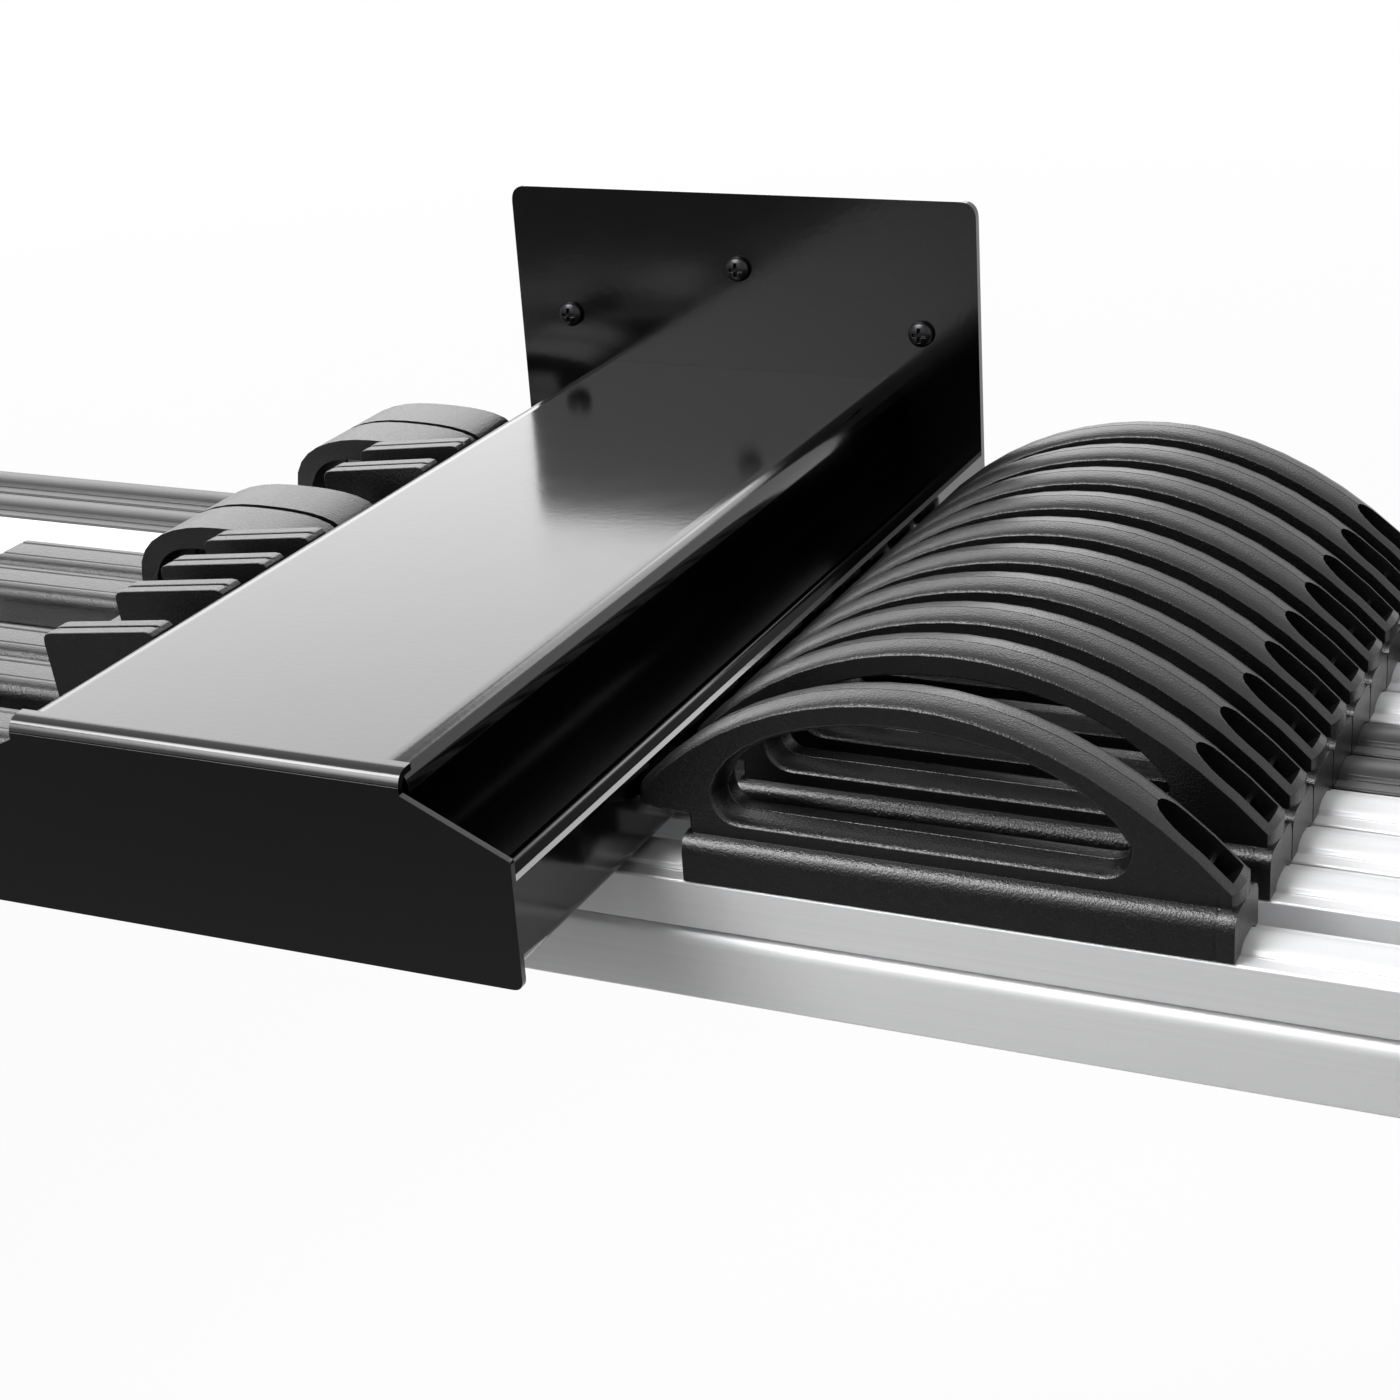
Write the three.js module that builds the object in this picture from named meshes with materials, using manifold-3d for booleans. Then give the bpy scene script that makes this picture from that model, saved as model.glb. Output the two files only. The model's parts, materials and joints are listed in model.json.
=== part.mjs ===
// Wall rack with ten hanging plan binders. Millimetres, +Z up, +Y towards the wall.
// The origin lies on the wall, level with the top of the arm. X runs along the binders.
import * as THREE from "three";
import { mergeVertices } from "three/addons/utils/BufferGeometryUtils.js";
import Module from "manifold-3d";

const wasm = await Module();
wasm.setup();

// Clearances.
const SEAT_GAP = 0.3; // between a piece and what it rests on
const SIDE_GAP = 1.3; // each side of the lip inside a hook
const RUN_GAP = 0.8; // between the rails and the underside of the arm

// Wall plate and its screws.
const PLATE_T = 3;
const PLATE_UP = 64; // above the top of the arm
const PLATE_DOWN = 54; // below the top of the arm
const PLATE_CORNER = 6;
const SCREW_EDGE = 21; // from the side of the plate
const SCREW_Z = 17;
const TOP_SCREW_Z = 37; // the third screw, midway across the plate
const SHANK_R = 2.4;
const HEAD_R = 4.6;
const HEAD_H = 3;
const RECESS_W = 1.2;
const RECESS_L = 5;
const RECESS_D = 1.6;

// Arm: one folded sheet, with a flap at the front.
const SHEET_T = 2;
const ARM_L = 350; // from the wall to the face of the flap
const TOP_W = 120;
const ARM_W = 180;
const LIP_Z = -26; // top edge of each lip
const ARM_BOTTOM = -50; // underside of the troughs
const BEND_IN = 2; // inside radius of the folds
const TOP_BEND = 7.5; // outside radius of the long folds of the top plate
const FLAP_BEND = 5; // outside radius of the front fold
const FLAP_BOTTOM = -56;
const FLAP_CHAMFER_TOP = -6;
const FLAP_CHAMFER_END = -20;
const FLAP_CORNER = 3;

// The file of binders.
const BINDERS = 10;
const PITCH = 24;
const FILE_BACK = 34; // between the last binder and the wall plate
const FIRST_PULL = 11.5; // how far the front binder stands forward of the file
const BLACK_BINDERS = ["05", "06", "09", "10"];
const LONG_SADDLES = ["01", "02", "03", "05", "06"]; // under the hook

// Rail, jaw and pin: the clamping bar of a binder.
const RAIL_LEFT = -340;
const RAIL_RIGHT = 310;
const RAIL_T = 22.4;
const RAIL_H = 38;
const CROWN = 2.4; // rise of the rounded top above its ledges
const LEDGE_FRONT = 5;
const LEDGE_BACK = 2.5;
const BEAD_W = 1; // fine groove between the front ledge and the rounded top
const BEAD_D = 0.6;
const EDGE_CUT = 0.5; // chamfer of the upper front edge
const BACK_WALL = 7.5; // thickness behind the sheets
const JAW_H = 21;
const JAW_R = 5; // rounding of the jaw's upper front edge
const JAW_FOOT_R = 1;
const JAW_GAP = 0.6; // closed gap for the sheets
const HINGE_GAP = 0.8; // between rail and jaw
const PIN_R = 2;

// Saddle shared by the grip and the hook.
const SADDLE_T = 23;
const SADDLE_TOP = -40;
const SHOULDER_R = 5;

// Grip. Runs along X are taken from the outer face of the right lip.
const TIP_GAP = 1; // between the lip and the tip of the grip
const TIP_Z = -28.5;
const TIP_H = 6; // blunt end of the tip
const TIP_UNDER = -36.3;
const GRIP_START = 15.2;
const GRIP_L = 148.8;
const APEX_RUN = 78;
const GRIP_APEX_Z = 4.7;
const GRIP_END_Z = -35.5;
const GRIP_T = 15.5;
const GRIP_CROWN = 1.8; // rise of the arch and slot walls from the sides to the parting line
const GRIP_FLAT = 0.5; // flat along the parting line
const GRIP_STEPS = 3; // facets of the crown on each side
const SLOT_START = 24.5;
const SLOT_END = 28.5; // from the slot to the right end of the grip
const SLOT_FLOOR = -34.8;
const SLOT_SIDE = -27; // where the rounded ends begin
const SLOT_TOP = -4;
const SLOT_CORNER = 7;
const LEAF_END = 12.7; // from the core-out in the sloping end to the right end of the grip
const LEAF_Z = -25.8;
const LEAF_L = 26.5;
const LEAF_W = 10.5;
const LEAF_D = 6;
const LEAF_TIP = 11; // length of the rounded upper end
const LEAF_TILT = 0.84;
const WEB_RUN = 7; // from the middle of the core-out down to its cross web
const WEB_T = 1.2;
const WEB_DROP = 1.5;

// Hooks. Runs along X are taken from the outer face of the left lip, outwards.
const HOOK_START = 4;
const HOOK_L = 134;
const HOOK_SHORT_L = 53;
const NOSE_DROP = 10; // below the top of the lip
const NOSE_R = 2;
const WING_T = 10;
const WING_REACH = 18.5;
const WING_OUT_Z = -10;
const WING_FOOT_RUN = 14.5;
const WING_NOSE = 19.7; // length of the nose inside the lip
const WING_IN_Z = -5;
const WING_CORNER = 3;
const RIDGE_W = 1.4;
const RIDGE_D = 1;
const HOOP_T = 21.5;
const HOOP_REACH = 54.5;
const HOOP_TOP = -10.2;
const HOOP_APEX_RUN = 21;
const HOOP_SIDE = -30; // where the outside of the leg begins to curve over
const HOOP_IN_Z = -18;
const HOOP_R = 24;
const HOOP_LEG = 5.5;
const HOOP_BAND = 8;
const HOOP_LAND_RUN = 8; // where the band thickens to bear on the lip
const HOOP_NOSE = 8.7;

// Worked out from the sizes above.
const FLAP_FACE = -ARM_L;
const LIP_OUT = ARM_W / 2;
const LIP_IN = LIP_OUT - SHEET_T;
const FOLD_HALF = TOP_W / 2;
const SCREW_X = LIP_OUT - SCREW_EDGE;
const SCREW_SPOTS = [[-SCREW_X, SCREW_Z], [SCREW_X, SCREW_Z], [0, TOP_SCREW_Z]];
const GRIP_LEFT = LIP_OUT + GRIP_START;
const GRIP_RIGHT = GRIP_LEFT + GRIP_L;
const GRIP_APEX_X = LIP_OUT + APEX_RUN;
const SLOT_LEFT = LIP_OUT + SLOT_START;
const SLOT_RIGHT = GRIP_RIGHT - SLOT_END;
const LEAF_X = GRIP_RIGHT - LEAF_END;
const HOOK_RIGHT = -LIP_OUT - HOOK_START;
const HOOK_LEFT = HOOK_RIGHT - HOOK_L;
const HOOK_SHORT_LEFT = HOOK_RIGHT - HOOK_SHORT_L;
const WING_OUT = -LIP_OUT - WING_REACH;
const WING_FOOT = -LIP_OUT - WING_FOOT_RUN;
const HOOP_OUT = -LIP_OUT - HOOP_REACH;
const HOOP_APEX = -LIP_OUT - HOOP_APEX_RUN;
const HOOP_LAND = -LIP_OUT - HOOP_LAND_RUN;
const LAST_FRONT = -PLATE_T - FILE_BACK - SADDLE_T;
const RAIL_TOP = ARM_BOTTOM - RUN_GAP;
const RAIL_EDGE = RAIL_TOP - CROWN;
const RAIL_BOTTOM = RAIL_TOP - RAIL_H;
const RAIL_FRONT = (SADDLE_T - RAIL_T) / 2;
const RAIL_BACK = RAIL_FRONT + RAIL_T;
const JAW_TOP = RAIL_BOTTOM + JAW_H;
const HINGE_Z = JAW_TOP + HINGE_GAP / 2;
const JAW_BACK = RAIL_BACK - BACK_WALL - JAW_GAP;
const HINGE_Y = (RAIL_FRONT + JAW_BACK) / 2;
const SKIRT_Z = RAIL_EDGE + SEAT_GAP;
const HOOK_SEAT = LIP_Z + SEAT_GAP;
const NOSE_Z = LIP_Z - NOSE_DROP;
const LEG_X = -(LIP_OUT + SIDE_GAP);
const NOSE_X = -(LIP_IN - SIDE_GAP);
const WING_IN = NOSE_X + WING_NOSE;
const HOOP_IN = NOSE_X + HOOP_NOSE;
const OVERLAP = 2; // how far joined pieces of one body run into each other
const CROWN_PULL = 4 / 3; // a curve pulled up by this share of its rise peaks at the rise

// Materials.
const metal = (color, roughness, metalness) =>
  new THREE.MeshStandardMaterial({ color, roughness, metalness });
const GLOSS_BLACK = metal(0x101012, 0.18, 0.1);
const SCREW_BLACK = metal(0x18181a, 0.35, 0.6);
const SATIN_PLASTIC = metal(0x1c1c1e, 0.5, 0);
const SILVER = metal(0xdcdde0, 0.35, 0.85);
const BLACK_BAR = metal(0x3a3b3e, 0.4, 0.6);
const STEEL_PIN = metal(0x9a9a9c, 0.3, 0.9);

// Solids and their sums.
function solid(geometry) {
  const bare = new THREE.BufferGeometry();
  const flat = geometry.index ? geometry.toNonIndexed() : geometry;
  bare.setAttribute("position", flat.getAttribute("position").clone());
  const merged = mergeVertices(bare, 1e-4);
  return new wasm.Manifold(
    new wasm.Mesh({
      numProp: 3,
      vertProperties: merged.getAttribute("position").array,
      triVerts: new Uint32Array(merged.index.array),
    }),
  );
}

function geometryOf(manifold) {
  const mesh = manifold.getMesh();
  const geometry = new THREE.BufferGeometry();
  geometry.setAttribute("position", new THREE.BufferAttribute(mesh.vertProperties, 3));
  geometry.setIndex(new THREE.BufferAttribute(mesh.triVerts, 1));
  const flat = geometry.toNonIndexed();
  flat.computeVertexNormals();
  return flat;
}

const add = (first, ...rest) => rest.reduce((sum, next) => sum.add(next), first);
const cut = (first, ...rest) => rest.reduce((sum, next) => sum.subtract(next), first);

// A block between two corners.
function block(x0, x1, y0, y1, z0, z1) {
  const box = new THREE.BoxGeometry(x1 - x0, y1 - y0, z1 - z0);
  return solid(box.translate((x0 + x1) / 2, (y0 + y1) / 2, (z0 + z1) / 2));
}

// A shape drawn in X and Z, with its thickness along Y from y0 to y1.
function alongY(shape, y0, y1, steps = 6) {
  const geometry = new THREE.ExtrudeGeometry(shape, {
    depth: y1 - y0,
    bevelEnabled: false,
    curveSegments: steps,
  });
  return solid(geometry.rotateX(Math.PI / 2).translate(0, y1, 0));
}

// The same with crowned walls, which rise from both faces to a flat along the middle.
function crownedAlongY(shape, y0, y1, steps) {
  const run = (y1 - y0 - GRIP_FLAT) / 2;
  const geometry = new THREE.ExtrudeGeometry(shape, {
    depth: GRIP_FLAT,
    bevelThickness: run,
    bevelSize: GRIP_CROWN,
    bevelOffset: -GRIP_CROWN,
    bevelSegments: GRIP_STEPS,
    curveSegments: steps,
  });
  return solid(geometry.rotateX(Math.PI / 2).translate(0, y1 - run, 0));
}

// A shape drawn in Y and Z, with its length along X from x0 to x1.
function alongX(shape, x0, x1, steps = 6) {
  const geometry = new THREE.ExtrudeGeometry(shape, {
    depth: x1 - x0,
    bevelEnabled: false,
    curveSegments: steps,
  });
  const turn = new THREE.Matrix4().makeBasis(
    new THREE.Vector3(0, 1, 0),
    new THREE.Vector3(0, 0, 1),
    new THREE.Vector3(1, 0, 0),
  );
  return solid(geometry.applyMatrix4(turn).translate(x0, 0, 0));
}

// A closed outline of straight runs whose corners are rounded. Points are [x, y, radius].
function rounded(points) {
  const shape = new THREE.Shape();
  const count = points.length;
  points.forEach(([x, y, radius = 0], i) => {
    const here = new THREE.Vector2(x, y);
    const back = new THREE.Vector2(...points[(i + count - 1) % count].slice(0, 2));
    const next = new THREE.Vector2(...points[(i + 1) % count].slice(0, 2));
    const into = back.sub(here).normalize();
    const out = next.sub(here).normalize();
    const half = Math.acos(THREE.MathUtils.clamp(into.dot(out), -1, 1)) / 2;
    const reach = radius / Math.tan(half);
    const start = here.clone().addScaledVector(into, reach);
    const end = here.clone().addScaledVector(out, reach);
    if (i === 0) shape.moveTo(start.x, start.y);
    else shape.lineTo(start.x, start.y);
    if (radius > 0) shape.quadraticCurveTo(x, y, end.x, end.y);
  });
  shape.closePath();
  return shape;
}

// Half of the arm's section: top plate, wall, trough floor and lip, mirrored by the caller.
function sectionOutline() {
  const wallOut = TOP_W / 2;
  const wallIn = wallOut - SHEET_T;
  const floor = ARM_BOTTOM + SHEET_T;
  const outer = BEND_IN + SHEET_T;
  const right = [
    [wallOut, 0, TOP_BEND],
    [wallOut, floor, BEND_IN],
    [LIP_IN, floor, BEND_IN],
    [LIP_IN, LIP_Z],
    [LIP_OUT, LIP_Z],
    [LIP_OUT, ARM_BOTTOM, outer],
    [wallIn, ARM_BOTTOM, outer],
    [wallIn, -SHEET_T, TOP_BEND - SHEET_T],
  ];
  const left = right.map(([x, z, radius]) => [-x, z, radius]).reverse();
  return rounded([...right, ...left]);
}

function flapOutline() {
  const right = [
    [FOLD_HALF, FLAP_CHAMFER_TOP + OVERLAP],
    [FOLD_HALF, FLAP_CHAMFER_TOP],
    [LIP_OUT, FLAP_CHAMFER_END, FLAP_CORNER / 3],
    [LIP_OUT, FLAP_BOTTOM, FLAP_CORNER],
  ];
  const left = right.map(([x, z, radius]) => [-x, z, radius]).reverse();
  return rounded([...right, ...left]);
}

// The fold between the top plate and the flap, drawn in Y and Z.
function foldOutline() {
  const back = FLAP_FACE + FLAP_BEND + OVERLAP;
  const low = FLAP_CHAMFER_TOP;
  return rounded([
    [FLAP_FACE, low],
    [FLAP_FACE, 0, FLAP_BEND],
    [back, 0],
    [back, -SHEET_T],
    [FLAP_FACE + SHEET_T, -SHEET_T, FLAP_BEND - SHEET_T],
    [FLAP_FACE + SHEET_T, low],
  ].reverse());
}

function armGeometry() {
  const flapBack = FLAP_FACE + SHEET_T;
  const top = FLAP_FACE + FLAP_BEND;
  const wallTop = -TOP_BEND - SHEET_T;
  const channel = alongY(sectionOutline(), flapBack - SHEET_T / 2, -PLATE_T);
  const relief = block(-LIP_OUT, LIP_OUT, FLAP_FACE - OVERLAP, top, wallTop, OVERLAP);
  const flap = alongY(flapOutline(), FLAP_FACE, flapBack);
  const fold = alongX(foldOutline(), -FOLD_HALF, FOLD_HALF);
  return geometryOf(add(cut(channel, relief), flap, fold));
}

function plateGeometry() {
  const plate = rounded([
    [-LIP_OUT, -PLATE_DOWN, PLATE_CORNER],
    [LIP_OUT, -PLATE_DOWN, PLATE_CORNER],
    [LIP_OUT, PLATE_UP, PLATE_CORNER],
    [-LIP_OUT, PLATE_UP, PLATE_CORNER],
  ]);
  for (const [x, z] of SCREW_SPOTS) {
    const hole = new THREE.Path();
    hole.absarc(x, z, SHANK_R + SEAT_GAP, 0, 2 * Math.PI, true);
    plate.holes.push(hole);
  }
  return geometryOf(alongY(plate, -PLATE_T, 0, 10));
}

// A pan-head screw with a cross recess. Its shank ends level with the back of the plate.
function screwGeometry() {
  const seat = -PLATE_T - SEAT_GAP;
  const crown = seat - HEAD_H;
  const profile = new THREE.Path();
  profile.moveTo(0, crown);
  profile.quadraticCurveTo(HEAD_R, crown, HEAD_R, seat - HEAD_H / 4);
  profile.lineTo(HEAD_R, seat);
  profile.lineTo(SHANK_R, seat);
  profile.lineTo(SHANK_R, 0);
  profile.lineTo(0, 0);
  const body = solid(new THREE.LatheGeometry(profile.getPoints(5), 20));
  const long = RECESS_L / 2;
  const thin = RECESS_W / 2;
  const floor = crown + RECESS_D;
  const across = block(-long, long, crown - OVERLAP, floor, -thin, thin);
  const upright = block(-thin, thin, crown - OVERLAP, floor, -long, long);
  return geometryOf(cut(body, across, upright));
}

// The rounded top of a rail, as points from the front ledge to the back ledge.
function crownCurve(spread) {
  const front = RAIL_FRONT + LEDGE_FRONT + BEAD_W - spread;
  const back = RAIL_BACK - LEDGE_BACK + spread;
  const reach = (back - front) / 4;
  const bow = new THREE.CubicBezierCurve(
    new THREE.Vector2(front, RAIL_EDGE + spread),
    new THREE.Vector2(front + reach / 2, RAIL_EDGE + spread + CROWN_PULL * CROWN),
    new THREE.Vector2(back - reach / 2, RAIL_EDGE + spread + CROWN_PULL * CROWN),
    new THREE.Vector2(back, RAIL_EDGE + spread),
  );
  return bow.getPoints(10);
}

function railGeometry() {
  const under = JAW_TOP + HINGE_GAP;
  const inner = RAIL_BACK - BACK_WALL;
  const ledge = RAIL_FRONT + LEDGE_FRONT;
  const shape = new THREE.Shape();
  shape.moveTo(RAIL_FRONT, under);
  shape.lineTo(inner, under);
  shape.lineTo(inner, RAIL_BOTTOM);
  shape.lineTo(RAIL_BACK, RAIL_BOTTOM);
  shape.lineTo(RAIL_BACK, RAIL_EDGE);
  crownCurve(0).reverse().forEach((point) => shape.lineTo(point.x, point.y));
  shape.lineTo(ledge + BEAD_W / 2, RAIL_EDGE - BEAD_D);
  shape.lineTo(ledge, RAIL_EDGE);
  shape.lineTo(RAIL_FRONT + EDGE_CUT, RAIL_EDGE);
  shape.lineTo(RAIL_FRONT, RAIL_EDGE - EDGE_CUT);
  const bar = alongX(shape, RAIL_LEFT, RAIL_RIGHT);
  return geometryOf(cut(bar, pinSolid(PIN_R + SEAT_GAP, OVERLAP)));
}

function pinSolid(radius, extra) {
  const length = RAIL_RIGHT - RAIL_LEFT + 2 * extra;
  const rod = new THREE.CylinderGeometry(radius, radius, length, 12);
  const middle = (RAIL_LEFT + RAIL_RIGHT) / 2;
  return solid(rod.rotateZ(Math.PI / 2).translate(middle, HINGE_Y, HINGE_Z));
}

function jawGeometry() {
  const shape = rounded([
    [JAW_BACK, JAW_TOP],
    [RAIL_FRONT, JAW_TOP, JAW_R],
    [RAIL_FRONT, RAIL_BOTTOM, JAW_FOOT_R],
    [JAW_BACK, RAIL_BOTTOM, JAW_FOOT_R],
  ]);
  const bar = alongX(shape, RAIL_LEFT, RAIL_RIGHT, 5);
  return geometryOf(cut(bar, pinSolid(PIN_R + SEAT_GAP, OVERLAP)));
}

// A length of saddle astride the rail.
function saddle(x0, x1) {
  const shape = new THREE.Shape();
  const shoulder = SADDLE_TOP - SHOULDER_R;
  shape.moveTo(0, SKIRT_Z);
  crownCurve(SEAT_GAP).forEach((point) => shape.lineTo(point.x, point.y));
  shape.lineTo(SADDLE_T, SKIRT_Z);
  shape.lineTo(SADDLE_T, shoulder);
  shape.quadraticCurveTo(SADDLE_T, SADDLE_TOP, SADDLE_T - SHOULDER_R, SADDLE_TOP);
  shape.lineTo(SHOULDER_R, SADDLE_TOP);
  shape.quadraticCurveTo(0, SADDLE_TOP, 0, shoulder);
  return alongX(shape, x0, x1, 4);
}

// The arch of the grip with its finger slot.
function gripOutline() {
  const tip = LIP_OUT + TIP_GAP;
  const span = GRIP_APEX_X - tip;
  const fall = GRIP_RIGHT - GRIP_APEX_X;
  const drop = GRIP_APEX_Z - GRIP_END_Z;
  const low = SADDLE_TOP - OVERLAP;
  const shape = new THREE.Shape();
  shape.moveTo(GRIP_LEFT, low);
  shape.lineTo(GRIP_LEFT, TIP_UNDER);
  shape.quadraticCurveTo((tip + GRIP_LEFT) / 2, TIP_UNDER, tip, TIP_Z - TIP_H);
  shape.lineTo(tip, TIP_Z);
  shape.bezierCurveTo(
    tip + 0.28 * span, TIP_Z + 0.7 * (GRIP_APEX_Z - TIP_Z),
    tip + 0.64 * span, GRIP_APEX_Z,
    GRIP_APEX_X, GRIP_APEX_Z,
  );
  shape.bezierCurveTo(
    GRIP_APEX_X + 0.33 * fall, GRIP_APEX_Z,
    GRIP_APEX_X + 0.68 * fall, GRIP_APEX_Z - 0.32 * drop,
    GRIP_RIGHT, GRIP_END_Z,
  );
  shape.lineTo(GRIP_RIGHT, low);
  shape.holes.push(slotOutline());
  return shape;
}

function slotOutline() {
  const rise = SLOT_TOP - SLOT_SIDE;
  const left = GRIP_APEX_X - SLOT_LEFT;
  const right = SLOT_RIGHT - GRIP_APEX_X;
  const path = new THREE.Path();
  path.moveTo(SLOT_RIGHT - SLOT_CORNER, SLOT_FLOOR);
  path.quadraticCurveTo(SLOT_RIGHT, SLOT_FLOOR, SLOT_RIGHT, SLOT_SIDE);
  path.bezierCurveTo(
    SLOT_RIGHT - 0.15 * right, SLOT_SIDE + 0.65 * rise,
    GRIP_APEX_X + 0.43 * right, SLOT_TOP,
    GRIP_APEX_X, SLOT_TOP,
  );
  path.bezierCurveTo(
    GRIP_APEX_X - 0.5 * left, SLOT_TOP,
    SLOT_LEFT + 0.07 * left, SLOT_SIDE + 0.6 * rise,
    SLOT_LEFT, SLOT_SIDE,
  );
  path.quadraticCurveTo(SLOT_LEFT, SLOT_FLOOR, SLOT_LEFT + SLOT_CORNER, SLOT_FLOOR);
  return path;
}

// The hollow in the sloping end of the grip: round at its upper end, with a web across it.
function leaf() {
  const half = LEAF_W / 2;
  const top = -LEAF_L / 2;
  const lay = (geometry) =>
    solid(geometry.rotateY(LEAF_TILT).translate(LEAF_X, SADDLE_T / 2, LEAF_Z));
  const shape = new THREE.Shape();
  shape.moveTo(-top, -half);
  shape.lineTo(-top, half);
  shape.lineTo(top + LEAF_TIP, half);
  shape.quadraticCurveTo(top, half, top, 0);
  shape.quadraticCurveTo(top, -half, top + LEAF_TIP, -half);
  const core = new THREE.ExtrudeGeometry(shape, {
    depth: 2 * LEAF_D,
    bevelEnabled: false,
    curveSegments: 5,
  });
  const web = new THREE.BoxGeometry(WEB_T, LEAF_W + OVERLAP, 2 * LEAF_D);
  return cut(
    lay(core.translate(0, 0, -LEAF_D)),
    lay(web.translate(WEB_RUN, 0, -LEAF_D - WEB_DROP)),
  );
}

function gripGeometry() {
  const front = (SADDLE_T - GRIP_T) / 2;
  const arch = crownedAlongY(gripOutline(), front, front + GRIP_T, 9);
  return geometryOf(cut(add(arch, saddle(GRIP_LEFT, GRIP_RIGHT)), leaf()));
}

// The hook of a silver binder: a solid wing over the lip.
function wingOutline() {
  const low = SADDLE_TOP - OVERLAP;
  return rounded([
    [LEG_X, low],
    [LEG_X, HOOK_SEAT],
    [NOSE_X, HOOK_SEAT],
    [NOSE_X, NOSE_Z, NOSE_R],
    [WING_IN - WING_CORNER, NOSE_Z, NOSE_R],
    [WING_IN, WING_IN_Z, WING_CORNER],
    [WING_OUT, WING_OUT_Z, WING_CORNER],
    [WING_FOOT, low],
  ].reverse());
}

// The shallow groove along the top of a wing, between its two ridges.
function wingGroove(y) {
  const rise = WING_IN_Z - WING_OUT_Z;
  const run = WING_IN - WING_OUT;
  const groove = new THREE.BoxGeometry(2 * run, RIDGE_W, 2 * RIDGE_D);
  groove.rotateY(-Math.atan2(rise, run));
  return solid(groove.translate((WING_IN + WING_OUT) / 2, y, (WING_IN_Z + WING_OUT_Z) / 2));
}

function wingGeometry(left) {
  const back = RAIL_BACK;
  const wing = alongY(wingOutline(), back - WING_T, back, 3);
  const groove = wingGroove(back - WING_T / 2);
  return geometryOf(add(cut(wing, groove), saddle(left, HOOK_RIGHT)));
}

// The hook of a black binder: an open hoop whose inner end bears on the lip.
function hoopOutline() {
  const low = SADDLE_TOP - OVERLAP;
  const under = HOOP_TOP - HOOP_BAND;
  const leg = HOOP_OUT + HOOP_LEG;
  const bend = HOOP_R - HOOP_LEG;
  const run = HOOP_APEX - HOOP_OUT;
  const fall = HOOP_IN - HOOP_APEX;
  const shape = new THREE.Shape();
  shape.moveTo(HOOP_OUT, low);
  shape.lineTo(leg, low);
  shape.lineTo(leg, under - bend);
  shape.quadraticCurveTo(leg, under, leg + bend, under);
  shape.lineTo(HOOP_LAND, under);
  shape.lineTo(HOOP_LAND + SHEET_T, HOOK_SEAT);
  shape.lineTo(NOSE_X, HOOK_SEAT);
  shape.lineTo(NOSE_X, NOSE_Z + NOSE_R);
  shape.quadraticCurveTo(NOSE_X, NOSE_Z, NOSE_X + NOSE_R, NOSE_Z);
  shape.lineTo(HOOP_IN - NOSE_R, NOSE_Z);
  shape.quadraticCurveTo(HOOP_IN, NOSE_Z, HOOP_IN, NOSE_Z + NOSE_R);
  shape.lineTo(HOOP_IN, HOOP_IN_Z);
  shape.bezierCurveTo(
    HOOP_IN, HOOP_TOP,
    HOOP_APEX + 0.3 * fall, HOOP_TOP,
    HOOP_APEX, HOOP_TOP,
  );
  shape.bezierCurveTo(
    HOOP_APEX - 0.5 * run, HOOP_TOP,
    HOOP_OUT, HOOP_SIDE + 0.75 * (HOOP_TOP - HOOP_SIDE),
    HOOP_OUT, HOOP_SIDE,
  );
  return shape;
}

function hoopGeometry(left) {
  const front = (SADDLE_T - HOOP_T) / 2;
  const hoop = alongY(hoopOutline(), front, front + HOOP_T, 8);
  return geometryOf(add(hoop, saddle(left, HOOK_RIGHT)));
}

// The assembly.
const group = new THREE.Group();

function place(parent, name, geometry, material, position = [0, 0, 0]) {
  const mesh = new THREE.Mesh(geometry, material);
  mesh.name = name;
  mesh.position.set(...position);
  parent.add(mesh);
}

place(group, "wall_plate", plateGeometry(), GLOSS_BLACK);
place(group, "arm", armGeometry(), GLOSS_BLACK);
const screw = screwGeometry();
["left", "right", "top"].forEach((spot, i) => {
  const [x, z] = SCREW_SPOTS[i];
  place(group, `wall_screw_${spot}`, screw, SCREW_BLACK, [x, 0, z]);
});

const rail = railGeometry();
const jaw = jawGeometry();
const pin = geometryOf(pinSolid(PIN_R, 0));
const grip = gripGeometry();
const longHooks = [wingGeometry(HOOK_LEFT), hoopGeometry(HOOK_LEFT)];
const shortHooks = [wingGeometry(HOOK_SHORT_LEFT), hoopGeometry(HOOK_SHORT_LEFT)];

for (let number = 1; number <= BINDERS; number += 1) {
  const tag = String(number).padStart(2, "0");
  const black = BLACK_BINDERS.includes(tag);
  const binder = new THREE.Group();
  const pull = number === 1 ? FIRST_PULL : 0;
  binder.position.set(0, LAST_FRONT - (BINDERS - number) * PITCH - pull, 0);
  place(binder, `rail_${tag}`, rail, black ? BLACK_BAR : SILVER);
  place(binder, `jaw_${tag}`, jaw, black ? BLACK_BAR : SILVER);
  place(binder, `jaw_pin_${tag}`, pin, STEEL_PIN);
  place(binder, `grip_${tag}`, grip, SATIN_PLASTIC);
  const [wing, hoop] = LONG_SADDLES.includes(tag) ? longHooks : shortHooks;
  place(binder, `hook_${tag}`, black ? hoop : wing, SATIN_PLASTIC);
  group.add(binder);
}

export default group;
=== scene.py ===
"""Finishes for the wall rack and its ten plan binders: painted sheet, moulded grips and drawn bars."""

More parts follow.
